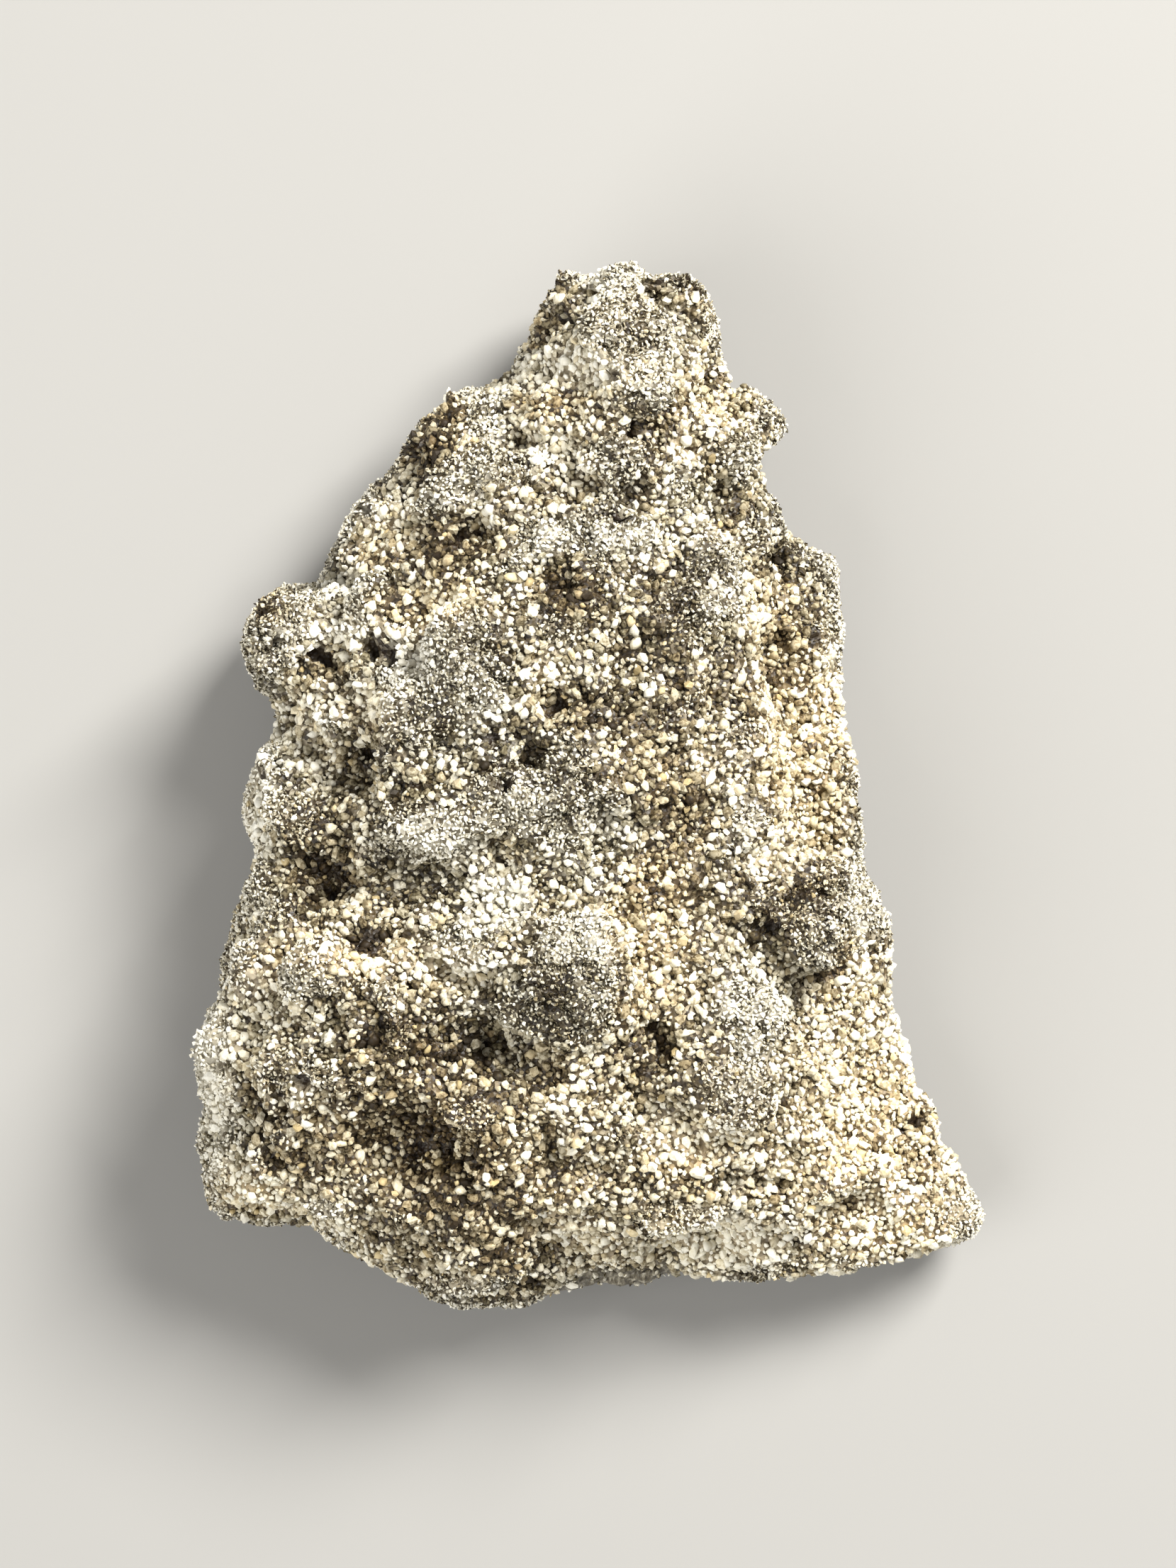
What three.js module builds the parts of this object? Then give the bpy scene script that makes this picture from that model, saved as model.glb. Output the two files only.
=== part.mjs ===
// A fulgurite: desert sand that lightning fused into one rough shard, lying on its broken back.
// Units are millimetres and +Z is up. +Y runs from the broad broken end to the narrow tip, +X is to
// the right as seen from above, and the origin is at the centre of the bounding box's base.
//
// The shard is described by one field that is negative inside the stone: an outline seen from above,
// an upper face with lumps and hollows, and a worn underside. The field is then turned into a closed
// skin of triangles.

import * as THREE from "three";
import { ImprovedNoise } from "three/addons/math/ImprovedNoise.js";

const { clamp, smoothstep, seededRandom } = THREE.MathUtils;

// ---- Driving dimensions ----

const LENGTH = 29.9; // broad end to tip
const WIDTH = 22.6; // across the broad end
const THICKNESS = 11.2; // ground to the highest knob

const CROWN = 9.0; // height of the upper face along its middle
const RIM_TOP = 4.4; // height of the upper face at the outline
const SHOULDER = 3.2; // how far in from the outline the upper face rises to the crown
const SHOULDER_POWER = 1.2; // over 1, the shoulder starts its rise gently
const TILT = 0.07; // how much the upper face falls for each millimetre along +X
const FACE_GRADE = 0.8; // a height above the sloping face times this is the distance to it
const WAIST = 0.44; // where the side stands out furthest, as a share of the upper face's height
const WAIST_WANDER = 0.36; // how far the waist wanders up and down, in the same share
const WANDER_LENGTH = 3.1; // distance over which the waist wanders
const SIDE_ROUND = 1.3; // how far the side leans in above the waist
const UNDER_ROUND = 2.2; // how far the side leans in below the waist
const SIDE_WARP = 1.4; // how far the steps of the sides wander above and below the waist
const WARP_LENGTH = 2.2; // distance over which those steps wander

const UNDERCUT = 1.5; // height of the underside at the outline
const UNDERCUT_REACH = 1.5; // how far in from the outline the underside stays raised
const UNDER_LIFT = 0.15; // mean height of the underside's hollows
const UNDER_WAVES = [
  { length: 4.4, depth: 1.5, shift: 40 },
  { length: 1.8, depth: 0.525, shift: 60 },
];
const REST_PATCH = { flat: 0.8, end: 3.0 }; // distances from the middle between which hollows begin
const WORN = 0.15; // depth that wear has taken off the lowest parts of the underside

const EDGE_BLEND = 0.9; // radius that blends the faces into each other
const OUTSET = 0.19; // the sides are let out by this much, then trimmed back to the outline
const TRIM_BLEND = 0.3; // radius of the edge that the trim leaves
const LUMP_BLEND = 0.5; // radius of the groove round a lump
const LUMP_FLATNESS = 0.8; // half height of a lump, as a share of its smaller half length
const LUMP_ROOT = 0.6; // least half height of a lump, as a share of its rise

const CELL = { x: 0.64, y: 0.64, z: 0.74 }; // spacing of the field's samples
const MARGIN = 2.2; // empty space round the shard in the sampled box
const BARELY = 1e-3; // a depth that counts as just inside the stone
const PROBE = 0.02; // half the distance over which the field's slope is measured
const SETTLE = { rounds: 3, pull: 0.5, steps: 2, farthest: 0.25, leastSlope: 0.5 };

// ---- The outline, seen from above, clockwise from the tip ----

const OUTLINE = [
  // the blunt tip, with its three teeth
  [0.2, 14.5], [0.6, 14.92], [1.45, 14.9], [1.7, 14.5], [2.0, 14.45], [2.35, 14.8], [2.85, 14.6],
  [3.3, 14.15], [3.65, 13.4], [3.72, 12.7], [3.85, 12.1], [4.08, 11.5],
  // the spur on the right, and the neck under it
  [4.4, 11.42], [4.95, 11.3], [5.25, 10.85], [5.76, 10.5], [5.65, 10.05], [5.05, 9.5], [4.98, 8.9],
  [5.1, 8.25], [5.5, 8.0], [5.68, 7.2],
  // the right shoulder and flank
  [6.2, 6.93], [6.8, 6.65], [7.12, 6.25], [7.2, 5.4], [7.37, 4.5], [7.25, 3.6], [7.28, 2.9],
  [7.15, 2.0], [7.45, 1.05], [7.68, 0.2], [7.72, -0.9], [7.82, -1.9], [8.15, -2.8], [8.55, -3.8],
  [8.66, -4.7], [8.57, -5.4], [8.72, -6.4], [9.0, -7.5], [9.5, -8.45], [10.05, -9.05],
  [10.35, -10.0], [10.62, -11.0], [11.05, -11.85], [11.3, -12.45],
  // the broken broad end
  [11.0, -12.9], [10.1, -13.25], [8.9, -13.6], [7.9, -13.83], [6.8, -13.88], [5.5, -14.2],
  [3.9, -14.25], [3.1, -13.97], [2.4, -14.0], [1.6, -14.35], [0.2, -14.37], [-1.0, -14.5],
  [-1.8, -14.87], [-2.6, -14.78], [-3.6, -14.95], [-4.6, -14.7], [-5.4, -14.05], [-6.2, -13.5],
  [-7.2, -12.95], [-8.1, -12.38], [-8.9, -12.6], [-10.2, -12.35],
  // the left flank, with its round lobes
  [-10.9, -11.6], [-11.02, -10.7], [-11.2, -9.95], [-10.93, -9.35], [-11.08, -8.7], [-11.3, -7.95],
  [-11.02, -7.2], [-10.95, -6.5], [-10.5, -6.0], [-10.45, -5.1], [-10.15, -4.0], [-9.98, -3.0],
  [-9.55, -2.2], [-9.57, -1.6], [-9.76, -0.9], [-9.62, 0.2], [-9.4, 0.95], [-9.0, 1.4],
  [-8.92, 2.1],
  // the round knob that stands out on the left
  [-9.1, 2.7], [-9.45, 2.75], [-9.88, 3.6], [-9.8, 4.4], [-9.35, 5.3], [-8.75, 5.83], [-8.1, 5.82],
  [-7.5, 6.0],
  // the stepped left shoulder, back up to the tip
  [-7.5, 6.65], [-7.05, 7.25], [-6.65, 8.1], [-6.05, 8.85], [-5.4, 9.25], [-5.25, 9.85],
  [-4.9, 10.35], [-4.25, 10.7], [-4.05, 11.15], [-3.75, 11.4], [-3.3, 11.32], [-2.55, 11.6],
  [-2.0, 12.5], [-1.75, 13.2], [-1.3, 14.0], [-0.7, 14.43],
];

// ---- Relief of the upper face ----
// at: place from above, size: half lengths along X and Y, rise: height above the face round it.

// Round lumps of fused sand, which stand on the face like knuckles.
const LUMPS = [
  // tip
  { at: [-0.7, 13.7], size: [0.8, 0.8], rise: 0.45 },
  { at: [1.0, 14.0], size: [0.9, 0.8], rise: 0.4 },
  { at: [2.7, 13.8], size: [0.9, 0.9], rise: 0.5 },
  { at: [1.0, 12.4], size: [1.7, 1.1], rise: 0.5 },
  { at: [1.5, 10.9], size: [1.0, 0.85], rise: 1.0 },
  { at: [0.8, 9.0], size: [1.2, 0.9], rise: 0.7 },
  { at: [3.4, 9.4], size: [1.1, 0.8], rise: 0.6 },
  { at: [4.8, 10.5], size: [0.8, 0.7], rise: 0.5 },
  { at: [-0.8, 10.4], size: [1.3, 0.9], rise: 0.4 },
  // left shoulder
  { at: [-3.8, 10.6], size: [0.65, 0.6], rise: 0.7 },
  { at: [-4.6, 9.6], size: [0.8, 0.75], rise: 0.9 },
  { at: [-2.6, 9.9], size: [1.2, 1.0], rise: 0.5 },
  { at: [-1.8, 8.7], size: [0.8, 0.7], rise: 0.6 },
  { at: [-3.5, 8.3], size: [1.5, 0.9], rise: 0.7 },
  { at: [-6.1, 7.7], size: [0.8, 0.8], rise: 0.4 },
  { at: [-6.9, 6.5], size: [0.6, 0.5], rise: 0.5 },
  // across the upper middle
  { at: [0.6, 7.0], size: [1.9, 0.8], rise: 0.8 },
  { at: [3.0, 6.6], size: [1.1, 0.95], rise: 0.9 },
  { at: [2.0, 4.6], size: [1.5, 1.2], rise: 0.7 },
  { at: [-5.7, 5.5], size: [1.2, 0.8], rise: 0.8 },
  { at: [-7.6, 5.1], size: [1.1, 0.6], rise: 0.5 },
  { at: [-8.7, 4.3], size: [1.1, 1.2], rise: 1.1 },
  { at: [-3.3, 3.9], size: [1.4, 1.2], rise: 1.0 },
  { at: [-4.6, 1.6], size: [1.2, 1.0], rise: 0.6 },
  { at: [-1.6, 4.4], size: [1.0, 0.7], rise: 0.4 },
  { at: [-0.3, 0.2], size: [1.6, 1.3], rise: 0.6 },
  { at: [3.4, 1.6], size: [1.5, 1.8], rise: 0.5 },
  { at: [4.4, -0.8], size: [1.3, 0.9], rise: 0.6 },
  // left flank
  { at: [-8.9, 0.2], size: [0.8, 1.2], rise: 0.6 },
  { at: [-9.0, -2.6], size: [0.7, 0.6], rise: 0.3 },
  { at: [-4.3, -1.2], size: [1.8, 0.9], rise: 1.0 },
  { at: [-6.2, -3.85], size: [0.45, 0.4], rise: 0.5 },
  { at: [-6.4, -5.2], size: [2.1, 1.1], rise: 0.7 },
  { at: [-8.8, -5.0], size: [1.1, 0.9], rise: 0.4 },
  { at: [-3.0, -4.4], size: [1.3, 0.7], rise: 0.8 },
  // the great knob in the middle of the lower half
  { at: [-0.7, -5.3], size: [1.9, 1.8], rise: 1.7 },
  { at: [0.0, -4.4], size: [1.0, 0.9], rise: 1.5 },
  // the overhanging knob on the right
  { at: [5.9, -3.5], size: [1.7, 1.7], rise: 1.9 },
  { at: [6.9, -2.5], size: [0.8, 0.7], rise: 1.9 },
  { at: [4.7, -3.3], size: [1.0, 0.9], rise: 1.0 },
  // lower half
  { at: [4.4, -6.4], size: [1.3, 0.9], rise: 1.0 },
  { at: [3.7, -8.2], size: [1.5, 1.4], rise: 0.8 },
  { at: [-3.3, -8.8], size: [1.2, 0.6], rise: 0.8 },
  { at: [-0.9, -8.7], size: [1.2, 1.0], rise: 0.6 },
  { at: [-8.3, -8.0], size: [1.3, 0.9], rise: 0.6 },
  { at: [-10.4, -7.1], size: [0.7, 0.9], rise: 0.6 },
  { at: [-10.5, -9.9], size: [0.7, 0.8], rise: 0.6 },
  { at: [6.1, -11.0], size: [1.6, 0.8], rise: 0.6 },
  { at: [9.0, -9.4], size: [0.9, 0.7], rise: 0.4 },
  { at: [1.4, -11.6], size: [1.6, 0.9], rise: 0.4 },
  { at: [-6.9, -11.4], size: [1.3, 0.8], rise: 0.4 },
  { at: [-3.0, -13.4], size: [1.6, 0.8], rise: 0.4 },
  { at: [8.6, -12.4], size: [1.6, 0.7], rise: 0.3 },
];

// Hollows between them, where loose sand has fallen out.
const HOLLOWS = [
  { at: [1.5, 9.9], size: [0.9, 0.7], rise: -0.9 },
  { at: [1.1, 7.9], size: [0.9, 0.6], rise: -0.8 },
  { at: [4.0, 8.3], size: [1.1, 0.6], rise: -0.6 },
  { at: [-3.9, 6.9], size: [1.9, 1.1], rise: -1.2 },
  { at: [-0.7, 5.6], size: [1.2, 0.9], rise: -1.1 },
  { at: [-6.7, 3.7], size: [1.7, 0.6], rise: -0.7 },
  { at: [-0.8, 2.5], size: [1.2, 0.8], rise: -0.8 },
  { at: [-6.6, 0.6], size: [1.4, 1.3], rise: -0.9 },
  { at: [-7.3, -2.3], size: [1.5, 1.2], rise: -1.2 },
  { at: [-4.4, -2.7], size: [1.6, 0.7], rise: -0.8 },
  { at: [2.1, -1.0], size: [1.2, 1.0], rise: -0.7 },
  { at: [-3.2, -7.0], size: [1.8, 1.1], rise: -1.3 },
  { at: [1.6, -6.9], size: [1.0, 1.2], rise: -1.1 },
  { at: [4.3, -4.5], size: [1.1, 0.8], rise: -0.7 },
  { at: [-5.0, -10.0], size: [2.4, 1.7], rise: -1.3 },
  { at: [6.6, -5.9], size: [1.3, 0.8], rise: -0.6 },
  { at: [6.8, -11.9], size: [1.2, 0.5], rise: -0.4 },
];

// Broad swellings and falls of the whole face, under the lumps.
const SWELLS = [
  { at: [-1.5, 2.5], size: [6.5, 8.0], rise: 0.8 },
  { at: [-7.0, -6.5], size: [4.5, 3.5], rise: 0.9 },
  { at: [1.0, 12.0], size: [3.5, 4.0], rise: 1.6 },
  { at: [8.5, -11.0], size: [6.0, 6.0], rise: -2.0 },
  { at: [1.0, -13.8], size: [7.0, 2.6], rise: -1.6 },
];

// The right flank lies lower than the rest: LEDGE is the line of its step, from the neck downwards.
const LEDGE = [
  [4.3, 8.4], [4.5, 5.6], [4.9, 3.2], [5.4, 1.0], [6.0, -1.6], [7.4, -4.2], [8.6, -7.0],
];
const LEDGE_DROP = 2.3;
const LEDGE_WIDTH = 0.9;
const LEDGE_START = { full: 7.0, none: 9.5 }; // places along Y between which the step begins
const LEDGE_FADE = { full: -3.0, none: -7.0 }; // places along Y between which it dies away
const LEDGE_EASE = 0.3; // under 1, the drop stays nearly whole close to the outline

// ---- Small lumps and pocks all over, placed by a seeded draw ----

const SEED = 7;

// Round pebbles of fused grains: onTop and onSide are how many, stand is how far they stand out.
const PEBBLES = {
  onTop: 110,
  onSide: 100,
  radius: [0.65, 1.1],
  stand: [0.12, 0.38],
  sideStand: 0.4, // share of the stand that is kept on the sides
  sideHeight: [0.25, 0.9], // as a share of the upper face's height there
};

// Pocks in the sides, low and high by turns. None is cut where the rim is thinner than thinnest.
const POCKS = {
  count: 44,
  radius: [0.7, 1.2],
  depth: [0.25, 0.6],
  thinnest: 4.2,
  low: 0.2, // height as a share of the waist's
  high: 0.75, // height as a share of the way from the waist to the upper face
};

// ---- Roughness of the whole skin ----

const ROUGHNESS = [
  { length: 2.4, depth: 0.42 },
  { length: 1.15, depth: 0.2 },
];

const CALM = 0.25; // share of the roughness left along the outline, which is drawn in detail already
const CALM_REACH = { calm: 0.3, full: 1.2 }; // distances in from the outline

// Each kind of roughness reads its own part of the noise, this far along X.
const SHIFT = { waist: 30, warpX: 80, warpY: 90 };
const OFF_GRID = { y: 17.3, z: 5.1 }; // keeps the noise's own grid away from the shard's axes

const noise = new ImprovedNoise();
const roughAt = (p, length, shift = 0) =>
  noise.noise(p.x / length + shift, p.y / length + OFF_GRID.y, p.z / length + OFF_GRID.z);

// ---- Smooth joins and cuts of two fields ----

function join(a, b, radius) {
  const h = Math.max(radius - Math.abs(a - b), 0) / radius;
  return Math.min(a, b) - (h * h * radius) / 4;
}

const cut = (a, b, radius) => -join(-a, -b, radius);

// ---- The outline as a closed curve, and the distance inside it ----

const outlineCurve = new THREE.CatmullRomCurve3(
  OUTLINE.map(([x, y]) => new THREE.Vector3(x, y, 0)),
  true,
  "centripetal",
);
const rim = outlineCurve.getPoints(2 * OUTLINE.length);

// Distance from (x, y) to the outline, positive inside it.
function insetAt(x, y) {
  let nearest = Infinity;
  let inside = false;
  for (let i = 0; i + 1 < rim.length; i++) {
    const a = rim[i];
    const b = rim[i + 1];
    const ex = b.x - a.x;
    const ey = b.y - a.y;
    const along = clamp(((x - a.x) * ex + (y - a.y) * ey) / (ex * ex + ey * ey), 0, 1);
    nearest = Math.min(nearest, Math.hypot(x - a.x - along * ex, y - a.y - along * ey));
    if (a.y > y !== b.y > y && x < a.x + ((y - a.y) * ex) / ey) inside = !inside;
  }
  return inside ? nearest : -nearest;
}

// ---- The upper face ----

const bell = (x, y, { at, size, rise }) => {
  const q = ((x - at[0]) / size[0]) ** 2 + ((y - at[1]) / size[1]) ** 2;
  return q < 1 ? rise * (1 - q) ** 2 : 0;
};

// X of the ledge's line at y.
function ledgeAt(y) {
  if (y >= LEDGE[0][1]) return LEDGE[0][0];
  for (let i = 0; i + 1 < LEDGE.length; i++) {
    const [[x0, y0], [x1, y1]] = [LEDGE[i], LEDGE[i + 1]];
    if (y >= y1) return THREE.MathUtils.mapLinear(y, y0, y1, x0, x1);
  }
  return LEDGE.at(-1)[0];
}

// Height of the upper face at (x, y), before the lumps that stand on it.
function faceAt(x, y, inset) {
  const climb = 1 - Math.exp(-((Math.max(inset, 0) / SHOULDER) ** SHOULDER_POWER));
  let height = RIM_TOP + (CROWN - RIM_TOP) * climb - TILT * x;
  for (const swell of SWELLS) height += bell(x, y, swell);
  for (const hollow of HOLLOWS) height += bell(x, y, hollow);
  const past = smoothstep(x, ledgeAt(y) - LEDGE_WIDTH / 2, ledgeAt(y) + LEDGE_WIDTH / 2);
  const above = 1 - smoothstep(y, LEDGE_START.full, LEDGE_START.none);
  const below = smoothstep(y, LEDGE_FADE.none, LEDGE_FADE.full);
  return height - LEDGE_DROP * past * above * below * climb ** LEDGE_EASE;
}

// ---- The sides and the underside ----

// Height of the waist at (x, y), where the upper face's rim is at top.
const waistAt = (x, y, top) =>
  top * (WAIST + WAIST_WANDER * roughAt({ x, y, z: 0 }, WANDER_LENGTH, SHIFT.waist));

// How far the side leans in at height z.
function leanAt(z, waist, top) {
  return z > waist
    ? SIDE_ROUND * ((z - waist) / (top - waist)) ** 2
    : UNDER_ROUND * ((waist - z) / waist) ** 2;
}

// Height of the underside: raised along the outline, and flat where the shard rests.
function undersideAt(x, y, inset) {
  let hollows = UNDER_LIFT;
  for (const { length, depth, shift } of UNDER_WAVES) {
    hollows += depth * roughAt({ x, y, z: 0 }, length, shift);
  }
  const rise = UNDERCUT * Math.exp(-Math.max(inset, 0) / UNDERCUT_REACH);
  return rise + hollows * smoothstep(Math.hypot(x, y), REST_PATCH.flat, REST_PATCH.end) - WORN;
}

// ---- Lumps as ellipsoids ----

const lumps = [];

function addLump(x, y, z, rx, ry, rz) {
  lumps.push({ centre: new THREE.Vector3(x, y, z), radii: new THREE.Vector3(rx, ry, rz) });
}

for (const { at: [x, y], size: [rx, ry], rise } of LUMPS) {
  const rz = Math.max(LUMP_FLATNESS * Math.min(rx, ry), LUMP_ROOT * rise);
  addLump(x, y, faceAt(x, y, insetAt(x, y)) + rise - rz, rx, ry, rz);
}

seededRandom(SEED);
const draw = ([low, high]) => low + (high - low) * seededRandom();

for (let made = 0; made < PEBBLES.onTop; ) {
  const [x, y] = [draw([-WIDTH / 2, WIDTH / 2]), draw([-LENGTH / 2, LENGTH / 2])];
  const [r, stand] = [draw(PEBBLES.radius), draw(PEBBLES.stand)];
  const inset = insetAt(x, y);
  if (inset < r) continue;
  addLump(x, y, faceAt(x, y, inset) + stand - r, r, r, r);
  made++;
}

for (let made = 0; made < PEBBLES.onSide; made++) {
  const [r, stand] = [draw(PEBBLES.radius), draw(PEBBLES.stand)];
  const u = (made + draw([0, 1])) / PEBBLES.onSide;
  const at = outlineCurve.getPoint(u);
  const inward = outlineCurve.getTangent(u).cross(new THREE.Vector3(0, 0, 1));
  const top = faceAt(at.x, at.y, 0);
  const height = draw(PEBBLES.sideHeight) * top;
  const lean = leanAt(height, waistAt(at.x, at.y, top), top);
  at.addScaledVector(inward, r + lean - PEBBLES.sideStand * stand);
  addLump(at.x, at.y, height, r, r, r);
}

const pocks = [];

for (let made = 0; made < POCKS.count; made++) {
  const [r, depth] = [draw(POCKS.radius), draw(POCKS.depth)];
  const u = (made + draw([0, 1])) / POCKS.count;
  const at = outlineCurve.getPoint(u);
  const outward = new THREE.Vector3(0, 0, 1).cross(outlineCurve.getTangent(u));
  const top = faceAt(at.x, at.y, 0);
  if (top < POCKS.thinnest) continue;
  const waist = waistAt(at.x, at.y, top);
  const height = made % 2 ? POCKS.low * waist : waist + POCKS.high * (top - waist);
  at.addScaledVector(outward, r - depth - leanAt(height, waist, top));
  pocks.push({ centre: at.setZ(height), radii: new THREE.Vector3(r, r, r) });
}

const near = (p, { centre, radii }) =>
  Math.abs(p.x - centre.x) < radii.x + MARGIN && Math.abs(p.y - centre.y) < radii.y + MARGIN;

// Distance to an ellipsoid, near enough close to its skin.
function lumpField(p, { centre, radii }) {
  const x = (p.x - centre.x) / radii.x;
  const y = (p.y - centre.y) / radii.y;
  const z = (p.z - centre.z) / radii.z;
  const k = Math.hypot(x, y, z);
  return (k * (k - 1)) / Math.max(Math.hypot(x / radii.x, y / radii.y, z / radii.z), 1e-6);
}

// ---- The whole shard's field: negative inside, about the distance to the skin near it ----

function field(p) {
  const drawn = insetAt(p.x, p.y);
  const inset = drawn + OUTSET;
  const face = faceAt(p.x, p.y, inset);
  const top = Math.max(face, RIM_TOP);
  const waist = waistAt(p.x, p.y, top);
  const offWaist = Math.min(Math.abs(p.z / waist - 1), 1);
  const warp = SIDE_WARP * offWaist;
  const warpedX = p.x + warp * roughAt(p, WARP_LENGTH, SHIFT.warpX);
  const warpedY = p.y + warp * roughAt(p, WARP_LENGTH, SHIFT.warpY);
  const side = leanAt(p.z, waist, top) - insetAt(warpedX, warpedY) - OUTSET;
  let value = cut(FACE_GRADE * (p.z - face), side, EDGE_BLEND);
  value = cut(value, undersideAt(p.x, p.y, inset) - p.z, EDGE_BLEND);
  for (const lump of lumps) {
    if (near(p, lump)) value = join(value, lumpField(p, lump), LUMP_BLEND);
  }
  for (const pock of pocks) {
    if (near(p, pock)) value = cut(value, -lumpField(p, pock), LUMP_BLEND);
  }
  const calm = Math.max(offWaist, smoothstep(inset, CALM_REACH.calm, CALM_REACH.full), CALM);
  for (const { length, depth } of ROUGHNESS) value += calm * depth * roughAt(p, length);
  return cut(value, -drawn, TRIM_BLEND);
}

function slopeAt(p) {
  const at = (dx, dy, dz) => field({ x: p.x + dx, y: p.y + dy, z: p.z + dz });
  return new THREE.Vector3(
    at(PROBE, 0, 0) - at(-PROBE, 0, 0),
    at(0, PROBE, 0) - at(0, -PROBE, 0),
    at(0, 0, PROBE) - at(0, 0, -PROBE),
  ).divideScalar(2 * PROBE);
}

// ---- From the field to a closed skin (surface nets) ----

function sampleField() {
  const low = new THREE.Vector3(-WIDTH / 2 - MARGIN, -LENGTH / 2 - MARGIN, -MARGIN);
  const high = new THREE.Vector3(WIDTH / 2 + MARGIN, LENGTH / 2 + MARGIN, THICKNESS + MARGIN);
  const count = ["x", "y", "z"].map((axis) => Math.ceil((high[axis] - low[axis]) / CELL[axis]) + 1);
  const [nx, ny, nz] = count;
  const place = (i, j, k) =>
    new THREE.Vector3(low.x + i * CELL.x, low.y + j * CELL.y, low.z + k * CELL.z);
  const index = (i, j, k) => (k * ny + j) * nx + i;
  const values = new Float64Array(nx * ny * nz);
  for (let k = 0; k < nz; k++)
    for (let j = 0; j < ny; j++)
      for (let i = 0; i < nx; i++) values[index(i, j, k)] = field(place(i, j, k));
  return { count, place, index, values };
}

// A cell's face whose corners change sign all the way round would pinch the skin to a line, so the
// outer corner nearest the skin is filled in.
function unpinch({ count: [nx, ny, nz], index, values }) {
  let pinched = 0;
  const face = (corners) => {
    const [a, b, c, d] = corners.map((n) => values[n] < 0);
    if (a !== c || b !== d || a === b) return;
    const outer = corners.filter((n) => values[n] >= 0);
    values[values[outer[0]] < values[outer[1]] ? outer[0] : outer[1]] = -BARELY;
    pinched++;
  };
  for (let k = 0; k + 1 < nz; k++)
    for (let j = 0; j + 1 < ny; j++)
      for (let i = 0; i + 1 < nx; i++) {
        face([index(i, j, k), index(i + 1, j, k), index(i + 1, j + 1, k), index(i, j + 1, k)]);
        face([index(i, j, k), index(i + 1, j, k), index(i + 1, j, k + 1), index(i, j, k + 1)]);
        face([index(i, j, k), index(i, j + 1, k), index(i, j + 1, k + 1), index(i, j, k + 1)]);
      }
  return pinched;
}

const CORNERS = [0, 1].flatMap((k) => [0, 1].flatMap((j) => [0, 1].map((i) => [i, j, k])));

// Whether the corner b comes one step after the corner a along a cell's edge.
const follows = (a, b) => {
  const steps = b.map((v, n) => v - a[n]);
  return Math.min(...steps) >= 0 && steps[0] + steps[1] + steps[2] === 1;
};
const EDGES = CORNERS.flatMap((a) => CORNERS.filter((b) => follows(a, b)).map((b) => [a, b]));

// One point in each cell that the skin passes through, and one square across each grid edge that
// the skin cuts.
function netOf({ count: [nx, ny, nz], place, index, values }) {
  const points = [];
  const pointOf = new Map();
  for (let k = 0; k + 1 < nz; k++)
    for (let j = 0; j + 1 < ny; j++)
      for (let i = 0; i + 1 < nx; i++) {
        const middle = new THREE.Vector3();
        let crossings = 0;
        for (const [a, b] of EDGES) {
          const va = values[index(i + a[0], j + a[1], k + a[2])];
          const vb = values[index(i + b[0], j + b[1], k + b[2])];
          if (va < 0 === vb < 0) continue;
          const from = place(i + a[0], j + a[1], k + a[2]);
          middle.add(from.lerp(place(i + b[0], j + b[1], k + b[2]), va / (va - vb)));
          crossings++;
        }
        if (!crossings) continue;
        pointOf.set(index(i, j, k), points.length);
        points.push(middle.divideScalar(crossings));
      }

  const squares = [];
  const square = (inside, cells) => {
    const corners = cells.map(([i, j, k]) => pointOf.get(index(i, j, k)));
    squares.push(inside ? corners : corners.reverse());
  };
  for (let k = 1; k + 1 < nz; k++)
    for (let j = 1; j + 1 < ny; j++)
      for (let i = 1; i + 1 < nx; i++) {
        const here = values[index(i, j, k)] < 0;
        if (here !== values[index(i + 1, j, k)] < 0)
          square(here, [[i, j - 1, k - 1], [i, j, k - 1], [i, j, k], [i, j - 1, k]]);
        if (here !== values[index(i, j + 1, k)] < 0)
          square(here, [[i - 1, j, k - 1], [i - 1, j, k], [i, j, k], [i, j, k - 1]]);
        if (here !== values[index(i, j, k + 1)] < 0)
          square(here, [[i - 1, j - 1, k], [i, j - 1, k], [i, j, k], [i - 1, j, k]]);
      }
  return { points, squares };
}

// Evens out the net's points along the skin, and puts each back on it.
function settle({ points, squares }) {
  const neighbours = points.map(() => new Set());
  for (const corners of squares)
    corners.forEach((n, i) => {
      const next = corners[(i + 1) % 4];
      neighbours[n].add(next);
      neighbours[next].add(n);
    });
  for (let round = 0; round < SETTLE.rounds; round++) {
    const evened = points.map((p, n) => {
      const mean = new THREE.Vector3();
      for (const m of neighbours[n]) mean.add(points[m]);
      return p.clone().lerp(mean.divideScalar(neighbours[n].size), SETTLE.pull);
    });
    evened.forEach((p, n) => {
      for (let step = 0; step < SETTLE.steps; step++) {
        const slope = slopeAt(p);
        const away = field(p) / Math.max(slope.length(), SETTLE.leastSlope);
        p.addScaledVector(slope.normalize(), -clamp(away, -SETTLE.farthest, SETTLE.farthest));
      }
      points[n].copy(p);
    });
  }
}

// Two triangles for each square, split along its shorter diagonal.
function trianglesOf({ points, squares }) {
  const index = [];
  for (const [a, b, c, d] of squares)
    if (points[a].distanceTo(points[c]) < points[b].distanceTo(points[d]))
      index.push(a, b, c, a, c, d);
    else index.push(a, b, d, b, c, d);
  return index;
}

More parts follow.
